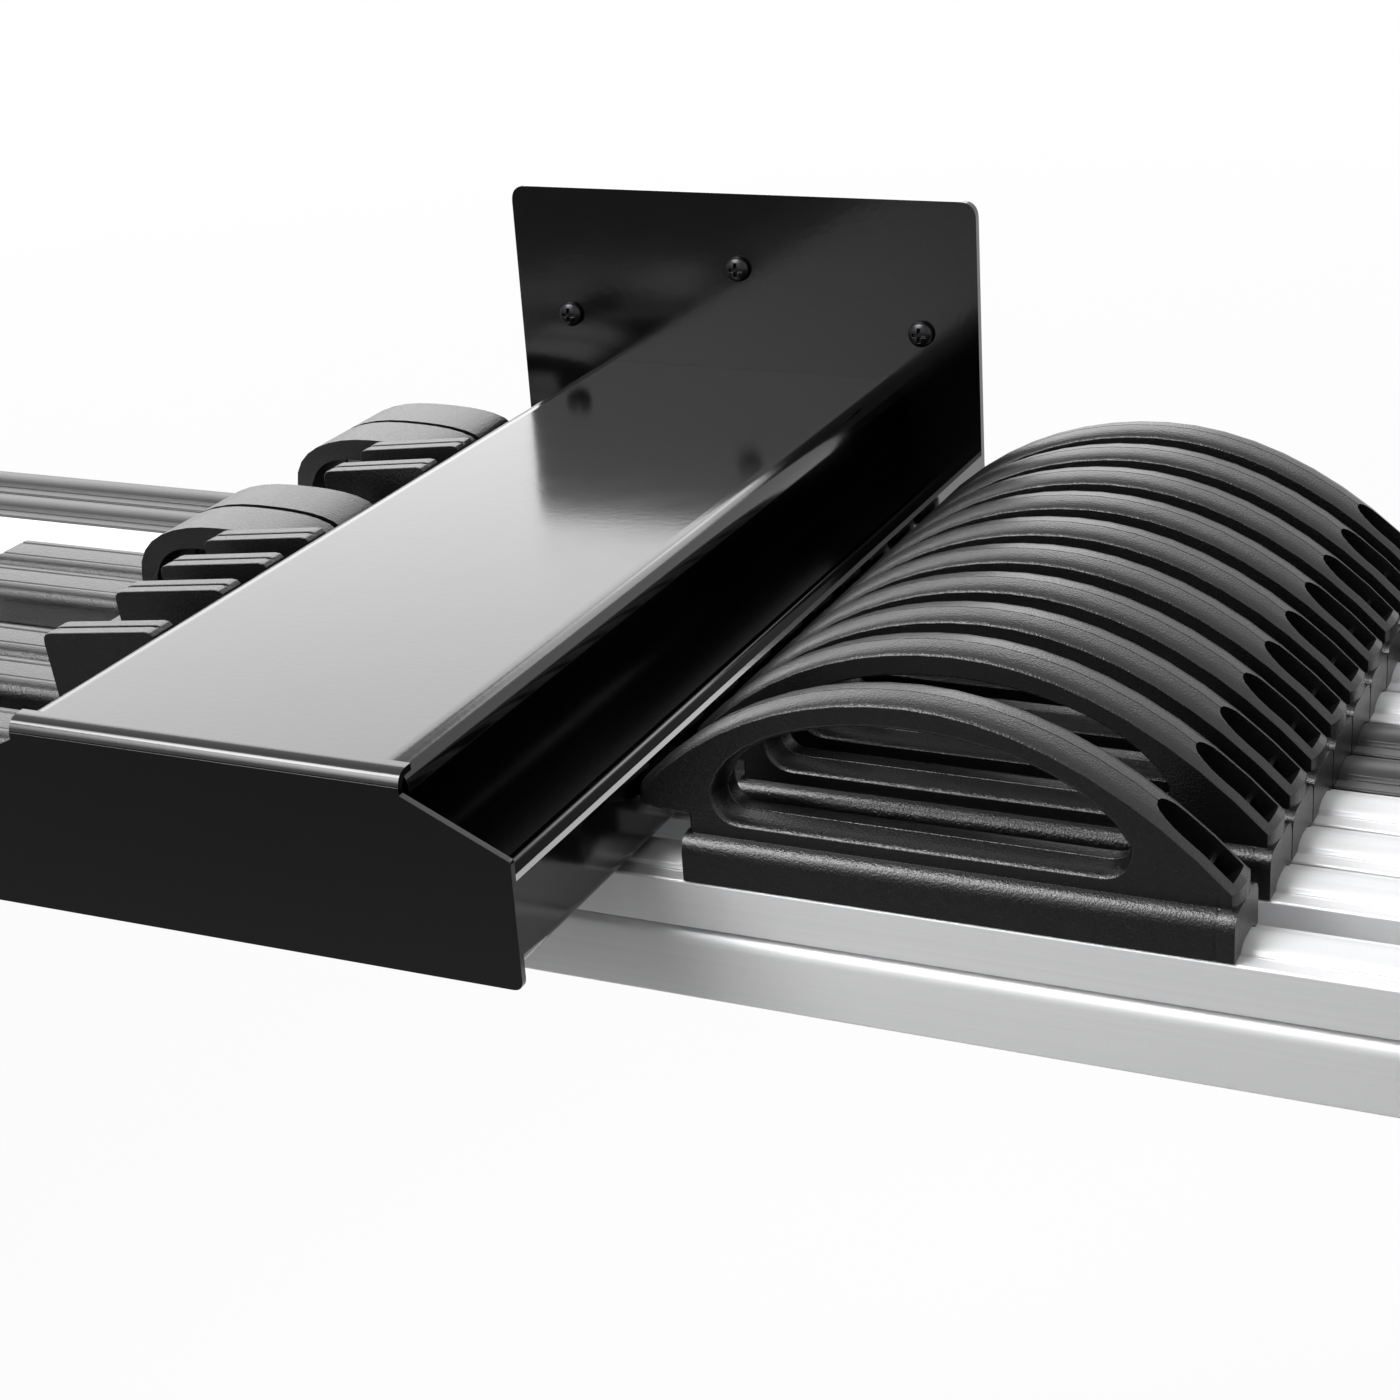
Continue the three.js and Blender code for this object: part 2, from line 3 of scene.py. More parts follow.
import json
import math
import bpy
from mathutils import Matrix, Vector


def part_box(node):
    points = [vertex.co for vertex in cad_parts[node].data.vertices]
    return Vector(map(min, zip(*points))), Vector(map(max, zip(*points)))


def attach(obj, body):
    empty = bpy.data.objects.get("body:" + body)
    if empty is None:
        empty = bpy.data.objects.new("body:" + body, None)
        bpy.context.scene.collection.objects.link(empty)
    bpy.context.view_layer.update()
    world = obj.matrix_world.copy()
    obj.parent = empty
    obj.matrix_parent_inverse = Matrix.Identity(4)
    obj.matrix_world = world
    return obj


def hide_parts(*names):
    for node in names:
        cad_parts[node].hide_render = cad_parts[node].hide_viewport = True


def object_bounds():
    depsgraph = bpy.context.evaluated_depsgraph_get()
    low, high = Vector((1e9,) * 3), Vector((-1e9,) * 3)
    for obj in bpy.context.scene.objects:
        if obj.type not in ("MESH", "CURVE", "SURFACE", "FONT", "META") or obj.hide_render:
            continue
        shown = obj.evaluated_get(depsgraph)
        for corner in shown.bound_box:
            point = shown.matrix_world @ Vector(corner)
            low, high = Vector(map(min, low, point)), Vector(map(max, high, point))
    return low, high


bl_info = {
    "name": "Plan Rack Finish",
    "version": (1, 0, 0),
    "blender": (4, 5, 0),
    "location": "View3D > Sidebar > Plan Rack",
    "description": "Rounds, grooves and finishes the pieces of a wall rack for plan binders",
    "category": "Object",
}

from collections import namedtuple

import bmesh
import bpy
from mathutils import Euler, Vector

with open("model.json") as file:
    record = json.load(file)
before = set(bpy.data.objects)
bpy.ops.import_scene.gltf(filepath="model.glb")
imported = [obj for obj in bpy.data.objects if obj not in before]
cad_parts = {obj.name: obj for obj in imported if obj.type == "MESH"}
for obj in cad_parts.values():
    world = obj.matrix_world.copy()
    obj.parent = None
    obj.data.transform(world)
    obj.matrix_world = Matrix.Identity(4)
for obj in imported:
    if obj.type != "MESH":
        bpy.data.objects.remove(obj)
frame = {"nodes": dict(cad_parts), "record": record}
CAD_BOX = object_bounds()

MM = 0.001
X_AXIS = 0
Y_AXIS = 1
WHITE = (1.0, 1.0, 1.0, 1.0)
BINDERS = [f"{number:02d}" for number in range(1, 11)]
BLACK_BINDERS = {"05", "06", "09", "10"}

# Turns between two faces.
FLAT_TURN = math.radians(1.0)  # up to this they are one flat face
SHARP_TURN = math.radians(34.0)  # past this they meet in an edge
TURNED_TURN = math.radians(50.0)  # the same on round stock, whose sides are facets

# How near a point has to lie.
MERGE_NEAR = 0.002 * MM  # to another point, or to the bottom line of a groove
CUT_NEAR = 0.001 * MM  # to a cutting plane, to lie on it
JOINT_NEAR = 0.01 * MM  # to the arm's top and rear
RIM_NEAR = 0.05 * MM  # to the faces of an arch
TOP_NEAR = 0.1 * MM  # to the top of a hook's saddle
LEDGE_NEAR = 0.6 * MM  # to the ledges beside an arch

# Parts of a point's normal.
IN_PLANE = 0.3  # least part along a groove's plane
UNDERSIDE = -0.3  # upward part below which a saddle turns under
UPWARD = 0.5  # least upward part on the rounded top of a rail

# Places on the grips and hooks.
SADDLE_TOP = -40.0 * MM
ARCH_HALF = 7.75 * MM  # half the width of an arch
HOLLOW_START = 232.0 * MM  # where the hollow in the sloping end begins
RIBS_END = -146.0 * MM  # where the grooves of a long saddle stop short of the hook
RIB_SHARES = (0.27, 0.73)  # of the saddle's width

DIE_LINES = (4.0, 900.0, 900.0)  # marks to the metre along, across and up a drawn bar

# The stage, in metres, degrees and watts.
Lamp = namedtuple("Lamp", "name place size spread power")
LAMPS = (
    Lamp("back_softbox", (-1.75, 2.35, 1.15), (3.2, 1.8), 180.0, 42.0),
    Lamp("strip_softbox", (0.15, 2.3, 1.7), (1.4, 0.5), 180.0, 6.0),
    Lamp("key_softbox", (-1.0, -1.95, 1.25), (1.2, 2.0), 45.0, 4.6),
    Lamp("right_softbox", (2.1, -0.2, 1.2), (1.0, 1.0), 180.0, 3.0),
    Lamp("over_softbox", (-0.6, -1.15, 1.9), (0.9, 0.7), 50.0, 3.4),
    Lamp("fold_softbox", (-1.3, -1.25, 1.6), (0.9, 0.6), 40.0, 1.3),
)
LAMP_TARGET = Vector((0.0, -0.18, -0.03))
BACKDROP_LIGHT = 1.0  # plain white
FLOOR_GLOW = 0.93  # how white the floor looks near the rack; the rest shows its shadow
FLOOR_NEAR = 1.0
FLOOR_FAR = 4.0  # where the floor looks plain white
MIRROR_FRONT = -1.0  # in front of this, mirrors show the floor at its lit tone
MIRROR_BACK = 0.4  # behind this, they show it as white
CAMERA_PLACE = (0.39595, -0.85644, 0.26943)
CAMERA_TURN = (66.992, 3.609, 24.689)
CAMERA_SHIFT = -0.0048  # of the picture's width
CAMERA_SENSOR = 36.0  # millimetres
CAMERA_CLIP = 0.01


# Sizes and colours that a user would change.


class RackPaintSettings(bpy.types.PropertyGroup):
    colour: bpy.props.FloatVectorProperty(
        name="Paint", description="Colour of the painted sheet", subtype="COLOR",
        size=3, min=0.0, max=1.0, default=(0.0005, 0.0005, 0.0006),
    )
    roughness: bpy.props.FloatProperty(
        name="Roughness", description="Roughness of the cured paint", subtype="FACTOR",
        min=0.0, max=1.0, default=0.13,
    )
    index: bpy.props.FloatProperty(
        name="Index", description="Refractive index of the paint film", min=1.0, max=2.0,
        default=1.55,
    )
    peel_size: bpy.props.FloatProperty(
        name="Peel size", description="Width of one dimple of the orange peel",
        subtype="DISTANCE", unit="LENGTH", default=2.2 * MM,
    )
    peel_depth: bpy.props.FloatProperty(
        name="Peel depth", description="Depth of the orange peel", subtype="DISTANCE",
        unit="LENGTH", default=0.012 * MM,
    )
    fold_edge: bpy.props.FloatProperty(
        name="Sheet edge", description="Rounding of the cut edges of the sheet",
        subtype="DISTANCE", unit="LENGTH", default=0.7 * MM,
    )
    joint_edge: bpy.props.FloatProperty(
        name="Joint edge", description="Rounding of the arm's top where it meets the wall plate",
        subtype="DISTANCE", unit="LENGTH", default=1.6 * MM,
    )
    plate_edge: bpy.props.FloatProperty(
        name="Plate edge", description="Rounding of the edges of the wall plate",
        subtype="DISTANCE", unit="LENGTH", default=0.6 * MM,
    )


class RackSteelSettings(bpy.types.PropertyGroup):
    screw: bpy.props.FloatVectorProperty(
        name="Screws", description="Colour of the blackened wall screws", subtype="COLOR",
        size=3, min=0.0, max=1.0, default=(0.03, 0.03, 0.032),
    )
    screw_roughness: bpy.props.FloatProperty(
        name="Screw roughness", description="Roughness of the wall screws", subtype="FACTOR",
        min=0.0, max=1.0, default=0.3,
    )
    screw_edge: bpy.props.FloatProperty(
        name="Screw edge", description="Rounding of the edges of the wall screws",
        subtype="DISTANCE", unit="LENGTH", default=0.2 * MM,
    )
    pin: bpy.props.FloatVectorProperty(
        name="Pins", description="Colour of the bright hinge pins", subtype="COLOR",
        size=3, min=0.0, max=1.0, default=(0.55, 0.55, 0.56),
    )
    pin_roughness: bpy.props.FloatProperty(
        name="Pin roughness", description="Roughness of the hinge pins", subtype="FACTOR",
        min=0.0, max=1.0, default=0.25,
    )
    pin_edge: bpy.props.FloatProperty(
        name="Pin edge", description="Rounding of the ends of the hinge pins",
        subtype="DISTANCE", unit="LENGTH", default=0.3 * MM,
    )


class RackMouldSettings(bpy.types.PropertyGroup):
    colour: bpy.props.FloatVectorProperty(
        name="Moulding", description="Colour of the moulded grips and hooks", subtype="COLOR",
        size=3, min=0.0, max=1.0, default=(0.0008, 0.0008, 0.0009),
    )
    roughness: bpy.props.FloatProperty(
        name="Roughness", description="Roughness of the moulded skin", subtype="FACTOR",
        min=0.0, max=1.0, default=0.32,
    )
    index: bpy.props.FloatProperty(
        name="Index", description="Refractive index of the moulded skin", min=1.0, max=2.0,
        default=1.52,
    )
    grain_size: bpy.props.FloatProperty(
        name="Grain size", description="Size of one grain of the moulded skin",
        subtype="DISTANCE", unit="LENGTH", default=0.65 * MM,
    )
    grain_depth: bpy.props.FloatProperty(
        name="Grain depth", description="Depth of the grain", subtype="DISTANCE",
        unit="LENGTH", default=0.16 * MM,
    )
    edge: bpy.props.FloatProperty(
        name="Edge", description="Rounding of the moulded edges", subtype="DISTANCE",
        unit="LENGTH", default=0.6 * MM,
    )
    hoop_edge: bpy.props.FloatProperty(
        name="Hoop edge", description="Rounding of the hooks that are hoops",
        subtype="DISTANCE", unit="LENGTH", default=2.4 * MM,
    )
    rim: bpy.props.FloatProperty(
        name="Rim", description="Rounding of the arch and of the rim of its finger slot",
        subtype="DISTANCE", unit="LENGTH", default=1.2 * MM,
    )
    fillet: bpy.props.FloatProperty(
        name="Fillet", description="Hollow corner where the arch stands on its saddle",
        subtype="DISTANCE", unit="LENGTH", default=1.6 * MM,
    )
    seam_from_end: bpy.props.FloatProperty(
        name="Seam", description="From the end of a saddle to the seam of its end collar",
        subtype="DISTANCE", unit="LENGTH", default=5.0 * MM,
    )
    seam_width: bpy.props.FloatProperty(
        name="Seam width", description="Width of the seam", subtype="DISTANCE",
        unit="LENGTH", default=1.1 * MM,
    )
    seam_depth: bpy.props.FloatProperty(
        name="Seam depth", description="Depth of the seam", subtype="DISTANCE",
        unit="LENGTH", default=0.7 * MM,
    )
    parting_width: bpy.props.FloatProperty(
        name="Parting width", description="Width of the line where the mould halves met",
        subtype="DISTANCE", unit="LENGTH", default=0.7 * MM,
    )
    parting_depth: bpy.props.FloatProperty(
        name="Parting depth", description="Depth of the parting line", subtype="DISTANCE",
        unit="LENGTH", default=0.35 * MM,
    )
    rib_width: bpy.props.FloatProperty(
        name="Rib groove width", description="Width of the grooves along a hook's saddle",
        subtype="DISTANCE", unit="LENGTH", default=1.4 * MM,
    )
    rib_depth: bpy.props.FloatProperty(
        name="Rib groove depth", description="Depth of the grooves along a hook's saddle",
        subtype="DISTANCE", unit="LENGTH", default=0.6 * MM,
    )


class RackBarSettings(bpy.types.PropertyGroup):
    silver: bpy.props.FloatVectorProperty(
        name="Silver", description="Colour of the silver anodised bars", subtype="COLOR",
        size=3, min=0.0, max=1.0, default=(0.67, 0.672, 0.68),
    )
    silver_roughness: bpy.props.FloatProperty(
        name="Silver roughness", description="Roughness of the silver skin", subtype="FACTOR",
        min=0.0, max=1.0, default=0.56,
    )
    silver_metal: bpy.props.FloatProperty(
        name="Silver metal", description="How far the silver skin mirrors as bare metal does",
        subtype="FACTOR", min=0.0, max=1.0, default=0.6,
    )
    silver_index: bpy.props.FloatProperty(
        name="Silver index", description="Refractive index of the silver skin", min=1.0, max=2.0,
        default=1.4,
    )
    black: bpy.props.FloatVectorProperty(
        name="Black", description="Colour of the black anodised bars", subtype="COLOR",
        size=3, min=0.0, max=1.0, default=(0.016, 0.016, 0.0172),
    )
    black_roughness: bpy.props.FloatProperty(
        name="Black roughness", description="Roughness of the black skin", subtype="FACTOR",
        min=0.0, max=1.0, default=0.38,
    )
    black_metal: bpy.props.FloatProperty(
        name="Black metal", description="How far the black skin mirrors as bare metal does",
        subtype="FACTOR", min=0.0, max=1.0, default=0.0,
    )
    black_index: bpy.props.FloatProperty(
        name="Black index", description="Refractive index of the black skin", min=1.0, max=2.0,
        default=1.5,
    )
    edge: bpy.props.FloatProperty(
        name="Edge", description="Rounding of the drawn edges", subtype="DISTANCE",
        unit="LENGTH", default=0.3 * MM,
    )
    line_from_front: bpy.props.FloatProperty(
        name="Line", description="From the front of a rail to the line along its top",
        subtype="DISTANCE", unit="LENGTH", default=6.4 * MM,
    )
    line_width: bpy.props.FloatProperty(
        name="Line width", description="Width of the line", subtype="DISTANCE",
        unit="LENGTH", default=1.5 * MM,
    )
    line_depth: bpy.props.FloatProperty(
        name="Line depth", description="Depth of the line", subtype="DISTANCE",
        unit="LENGTH", default=0.9 * MM,
    )


class RackStageSettings(bpy.types.PropertyGroup):
    floor_drop: bpy.props.FloatProperty(
        name="Floor", description="How far the floor lies below the rack", subtype="DISTANCE",
        unit="LENGTH", default=0.62,
    )
    floor_size: bpy.props.FloatProperty(
        name="Floor size", description="Width of the floor", subtype="DISTANCE",
        unit="LENGTH", default=24.0,
    )
    floor_colour: bpy.props.FloatVectorProperty(
        name="Floor colour", description="Colour of the floor", subtype="COLOR",
        size=3, min=0.0, max=1.0, default=(0.86, 0.86, 0.86),
    )
    room_light: bpy.props.FloatProperty(
        name="Room light", description="Strength of the light from all round", min=0.0, max=1.0,
        default=0.13,
    )
    lens: bpy.props.FloatProperty(
        name="Lens", description="Focal length of the camera, in millimetres", min=10.0,
        max=300.0, default=68.885,
    )


# Node trees.


class Nodes:
    """Adds and joins the nodes of one material or world."""

    def __init__(self, tree):
        self.tree = tree

    def add(self, kind):
        return self.tree.nodes.new(kind)

    def link(self, source, target):
        self.tree.links.new(source, target)

    def noise(self, vector, scale, detail):
        node = self.add("ShaderNodeTexNoise")
        node.inputs["Scale"].default_value = scale
        node.inputs["Detail"].default_value = detail
        self.link(vector, node.inputs["Vector"])
        return node.outputs["Fac"]

    def stretch(self, vector, scale):
        node = self.add("ShaderNodeMapping")
        node.inputs["Scale"].default_value = scale
        self.link(vector, node.inputs["Vector"])
        return node.outputs["Vector"]

    def ramp(self, value, start, end, low, high):
        """A value that climbs from low to high between two places."""
        node = self.add("ShaderNodeMapRange")
        node.inputs["From Min"].default_value = start
        node.inputs["From Max"].default_value = end
        node.inputs["To Min"].default_value = low
        node.inputs["To Max"].default_value = high
        self.link(value, node.inputs["Value"])
        return node.outputs["Result"]

    def vary(self, value, middle, least, most):
        """A number between two shares of a middle one, by a 0 to 1 value."""
        return self.ramp(value, 0.0, 1.0, middle * least, middle * most)

    def tint(self, value, colour, dark, light):
        """A colour between two shades of one, by a 0 to 1 value."""
        node = self.add("ShaderNodeMix")
        node.data_type = "RGBA"
        node.inputs["A"].default_value = (*shade(colour, dark), 1.0)
        node.inputs["B"].default_value = (*shade(colour, light), 1.0)
        self.link(value, node.inputs["Factor"])
        return node.outputs["Result"]

    def bump(self, height, depth, normal=None):
        node = self.add("ShaderNodeBump")
        node.inputs["Distance"].default_value = depth
        self.link(height, node.inputs["Height"])
        if normal is not None:
            self.link(normal, node.inputs["Normal"])
        return node.outputs["Normal"]

    def combine(self, operation, first, second):
        """Two values joined by a product or by the larger of them."""
        node = self.add("ShaderNodeMath")
        node.operation = operation
        self.link(first, node.inputs[0])
        self.link(second, node.inputs[1])
        return node.outputs["Value"]

    def looks(self):
        """Two values: 1 for rays from the camera, and 1 for rays off a mirror or through glass."""
        path = self.add("ShaderNodeLightPath").outputs
        mirror = self.combine("MAXIMUM", path["Is Glossy Ray"], path["Is Transmission Ray"])
        return path["Is Camera Ray"], mirror

    def background(self, strength):
        node = self.add("ShaderNodeBackground")
        node.inputs["Color"].default_value = WHITE
        node.inputs["Strength"].default_value = strength
        return node.outputs["Background"]

    def blend(self, share, first, second):
        """A shader that goes from the first to the second, by a 0 to 1 value."""
        node = self.add("ShaderNodeMixShader")
        self.link(share, node.inputs["Fac"])
        self.link(first, node.inputs[1])
        self.link(second, node.inputs[2])
        return node.outputs["Shader"]


def new_finish(name):
    """A material with a Principled shader, its node helper and its Object coordinates."""
    material = bpy.data.materials.new(name)
    material.use_nodes = True
    nodes = Nodes(material.node_tree)
    shader = material.node_tree.nodes["Principled BSDF"]
    place = nodes.add("ShaderNodeTexCoord").outputs["Object"]
    return material, nodes, shader, place


def shade(colour, share):
    return tuple(min(1.0, part * share) for part in colour)


def paint_finish(settings):
    """Gloss black powder coat with a slight orange peel."""
    material, nodes, shader, place = new_finish("gloss_black_coat")
    cloud = nodes.noise(place, scale=9.0, detail=3.0)
    tone = nodes.tint(cloud, settings.colour, dark=0.85, light=1.2)
    nodes.link(tone, shader.inputs["Base Color"])
    wear = nodes.noise(place, scale=60.0, detail=4.0)
    rough = nodes.vary(wear, settings.roughness, least=0.8, most=1.25)
    nodes.link(rough, shader.inputs["Roughness"])
    shader.inputs["IOR"].default_value = settings.index
    peel = nodes.noise(place, scale=1.0 / settings.peel_size, detail=1.0)
    nodes.link(nodes.bump(peel, settings.peel_depth), shader.inputs["Normal"])
    return material


def mould_finish(settings):
    """Black moulding with a fine spark-eroded grain, shared by the grips and the hooks."""
    made = bpy.data.materials.get("satin_black_moulding")
    if made:
        return made
    material, nodes, shader, place = new_finish("satin_black_moulding")
    flow = nodes.noise(place, scale=22.0, detail=3.0)
    tone = nodes.tint(flow, settings.colour, dark=0.8, light=1.3)
    nodes.link(tone, shader.inputs["Base Color"])
    grain = nodes.noise(place, scale=1.0 / settings.grain_size, detail=2.0)
    rough = nodes.vary(grain, settings.roughness, least=0.82, most=1.2)
    nodes.link(rough, shader.inputs["Roughness"])
    shader.inputs["IOR"].default_value = settings.index
    nodes.link(nodes.bump(grain, settings.grain_depth), shader.inputs["Normal"])
    return material


def bar_finish(name, colour, roughness, metal, index):
    """Anodised drawn bar: fine die lines along its length over a soft grain."""
    material, nodes, shader, place = new_finish(name)
    lines = nodes.noise(nodes.stretch(place, DIE_LINES), scale=1.0, detail=2.0)
    tone = nodes.tint(lines, colour, dark=0.94, light=1.04)
    nodes.link(tone, shader.inputs["Base Color"])
    grain = nodes.noise(place, scale=1500.0, detail=2.0)
    rough = nodes.vary(grain, roughness, least=0.85, most=1.18)
    nodes.link(rough, shader.inputs["Roughness"])
    shader.inputs["Metallic"].default_value = metal
    shader.inputs["IOR"].default_value = index
    pitted = nodes.bump(grain, depth=0.012 * MM)
    nodes.link(nodes.bump(lines, depth=0.01 * MM, normal=pitted), shader.inputs["Normal"])
    return material


def steel_finish(name, colour, roughness):
    """Turned steel with a fine brushed tone."""
    material, nodes, shader, place = new_finish(name)
    grain = nodes.noise(place, scale=1100.0, detail=3.0)
    tone = nodes.tint(grain, colour, dark=0.8, light=1.15)
    nodes.link(tone, shader.inputs["Base Color"])
    rough = nodes.vary(grain, roughness, least=0.8, most=1.2)
    nodes.link(rough, shader.inputs["Roughness"])
    shader.inputs["Metallic"].default_value = 1.0
    nodes.link(nodes.bump(grain, depth=0.01 * MM), shader.inputs["Normal"])
    return material


def floor_finish(settings):
    """Matt pale floor that looks white to the camera, and behind the rack to mirrors too."""
    material, nodes, shader, place = new_finish("pale_floor")
    nodes.tree.nodes.remove(shader)
    matt = nodes.add("ShaderNodeBsdfDiffuse")
    matt.inputs["Color"].default_value = (*settings.floor_colour, 1.0)
    glow = nodes.add("ShaderNodeEmission")
    sides = nodes.add("ShaderNodeSeparateXYZ")
    nodes.link(place, sides.inputs["Vector"])
    reach = nodes.add("ShaderNodeVectorMath")
    reach.operation = "LENGTH"
    nodes.link(place, reach.inputs[0])
    camera, mirror = nodes.looks()
    behind = nodes.ramp(sides.outputs["Y"], MIRROR_FRONT, MIRROR_BACK, 0.0, 1.0)
    seen = nodes.combine("MAXIMUM", camera, nodes.combine("MULTIPLY", mirror, behind))
    far = nodes.ramp(reach.outputs["Value"], FLOOR_NEAR, FLOOR_FAR, FLOOR_GLOW, 1.0)
    share = nodes.combine("MULTIPLY", seen, far)
    surface = nodes.blend(share, matt.outputs["BSDF"], glow.outputs["Emission"])
    nodes.link(surface, nodes.tree.nodes["Material Output"].inputs["Surface"])
    return material


# Shapes.


def merged_copy(node):
    """A bmesh of a node's shape, with its loose triangles merged into whole faces."""
    shape = bmesh.new()
    shape.from_mesh(frame["nodes"][node].data)
    bmesh.ops.remove_doubles(shape, verts=shape.verts, dist=MERGE_NEAR)
    bmesh.ops.dissolve_limit(
        shape, angle_limit=FLAT_TURN, use_dissolve_boundaries=False,
        verts=shape.verts, edges=shape.edges, delimit=set(),
    )
    return shape


def round_edges(shape, width, turn=SHARP_TURN, segments=3, keep=None):
    """Rounds the edges that turn sharply. keep, if given, picks which of them."""
    edges = [
        edge for edge in shape.edges
        if len(edge.link_faces) == 2 and edge.calc_face_angle(0.0) > turn
        and (keep is None or keep(edge))
    ]
    bmesh.ops.bevel(
        shape, geom=edges, offset=width, offset_type="OFFSET", segments=segments,
        profile=0.5, affect="EDGES", clamp_overlap=True, material=-1,
    )


def cut_groove(shape, axis, place, width, depth, keep):
    """A fine V groove in the plane across an axis, sunk where keep says so."""
    facing = Vector([1.0 if step == axis else 0.0 for step in range(3)])
    for side in (-0.5, 0.0, 0.5):
        bmesh.ops.bisect_plane(
            shape, geom=[*shape.verts, *shape.edges, *shape.faces], dist=CUT_NEAR,
            plane_co=facing * (place + side * width), plane_no=facing,
        )
    shape.normal_update()
    pushes = []
    for vert in shape.verts:
        push = vert.normal - facing * vert.normal.dot(facing)
        if abs(vert.co[axis] - place) < MERGE_NEAR and push.length > IN_PLANE and keep(vert):
            pushes.append((vert, push.normalized() * depth))
    for vert, push in pushes:
        vert.co -= push


def make_mesh(shape, name, material):
    """A mesh made from a bmesh, with one material. The bmesh is freed."""
    mesh = bpy.data.meshes.new(name)
    shape.to_mesh(mesh)
    shape.free()
    mesh.materials.append(material)
    return mesh


def make_object(name, data):
    """An object, linked into the scene."""
    made = bpy.data.objects.new(name, data)
    bpy.context.scene.collection.objects.link(made)
    return made


def make_piece(shape, name, node, material):
    """A finished piece that stands for a node and moves with the node's body."""
    mesh = make_mesh(shape, name, material)
    mesh.polygons.foreach_set("use_smooth", [True] * len(mesh.polygons))
    mesh.set_sharp_from_angle(angle=SHARP_TURN)
    piece = make_object(name, mesh)
    normals = piece.modifiers.new("face_weighted", "WEIGHTED_NORMAL")
    normals.keep_sharp = True
    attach(piece, body_of(node))
    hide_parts(node)
    for place in frame["nodes"][node].material_slots:
        place.material = material


def body_of(node):
    bodies = frame["record"]["behaviour"]["bodies"]
    return next(body for body, nodes in bodies.items() if node in nodes)


# Operators, one for each group of like pieces and one for the stage.


class RACK_OT_set_stage(bpy.types.Operator):
    """Lays the floor, hangs the lamps and places the camera"""

    bl_idname = "rack.set_stage"
    bl_label = "Set Stage"

    def execute(self, context):
        settings = context.scene.rack_stage
        self.lay_floor(settings)
        self.light_room(context.scene, settings)
        self.hang_lamps()
        self.place_camera(context.scene, settings)
        context.scene.view_settings.view_transform = "Standard"
        return {"FINISHED"}

    def lay_floor(self, settings):
        shape = bmesh.new()
        bmesh.ops.create_grid(shape, x_segments=1, y_segments=1, size=settings.floor_size / 2)
        bmesh.ops.translate(shape, verts=shape.verts, vec=(0, 0, CAD_BOX[0].z - settings.floor_drop))
        floor = make_object("floor", make_mesh(shape, "floor", floor_finish(settings)))

    def light_room(self, scene, settings):
        """A dim room that looks white to the camera and to mirrors."""
        world = bpy.data.worlds.new("studio")
        world.use_nodes = True
        tree = world.node_tree
        tree.nodes.remove(tree.nodes["Background"])
        nodes = Nodes(tree)
        seen = nodes.combine("MAXIMUM", *nodes.looks())
        room = nodes.background(settings.room_light)
        surface = nodes.blend(seen, room, nodes.background(BACKDROP_LIGHT))
        nodes.link(surface, tree.nodes["World Output"].inputs["Surface"])
        scene.world = world

    def hang_lamps(self):
        for lamp in LAMPS:
            light = bpy.data.lights.new(lamp.name, "AREA")
            light.shape = "RECTANGLE"
            light.size, light.size_y = lamp.size
            light.spread = math.radians(lamp.spread)
            light.energy = lamp.power
            holder = make_object(lamp.name, light)
            holder.location = lamp.place
            aim = LAMP_TARGET - Vector(lamp.place)
            holder.rotation_euler = aim.to_track_quat("-Z", "Y").to_euler()

    def place_camera(self, scene, settings):
        camera = bpy.data.cameras.new("camera")
        camera.sensor_width = CAMERA_SENSOR
        camera.lens = settings.lens
        camera.shift_x = CAMERA_SHIFT
        camera.clip_start = CAMERA_CLIP
        holder = make_object("camera", camera)
        holder.location = CAMERA_PLACE
        holder.rotation_euler = Euler([math.radians(turn) for turn in CAMERA_TURN])
        scene.camera = holder


class RACK_OT_paint_sheet(bpy.types.Operator):
    """Rounds and paints the arm and its wall plate"""

    bl_idname = "rack.paint_sheet"
    bl_label = "Paint Arm and Wall Plate"

    def execute(self, context):
        settings = context.scene.rack_paint
        paint = paint_finish(settings)
        arm = merged_copy("arm")
        round_edges(arm, settings.joint_edge, keep=self.on_joint)
        round_edges(arm, settings.fold_edge)
        make_piece(arm, "folded_arm", "arm", paint)
        plate = merged_copy("wall_plate")
        round_edges(plate, settings.plate_edge)
        make_piece(plate, "painted_plate", "wall_plate", paint)
        return {"FINISHED"}

    def on_joint(self, edge):
        """True for the rear edge of the arm's top plate."""
        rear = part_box("arm")[1].y
        return all(rear - vert.co.y < JOINT_NEAR and vert.co.z > -JOINT_NEAR for vert in edge.verts)


class RACK_OT_drive_screws(bpy.types.Operator):
    """Rounds and blackens the three wall screws"""

    bl_idname = "rack.drive_screws"
    bl_label = "Finish Screws"

    def execute(self, context):
        settings = context.scene.rack_steel
        black = steel_finish("screw_black_oxide", settings.screw, settings.screw_roughness)
        for spot in ("left", "right", "top"):
            node = f"wall_screw_{spot}"
            shape = merged_copy(node)
            round_edges(shape, settings.screw_edge, TURNED_TURN)
            make_piece(shape, f"pan_screw_{spot}", node, black)
        return {"FINISHED"}


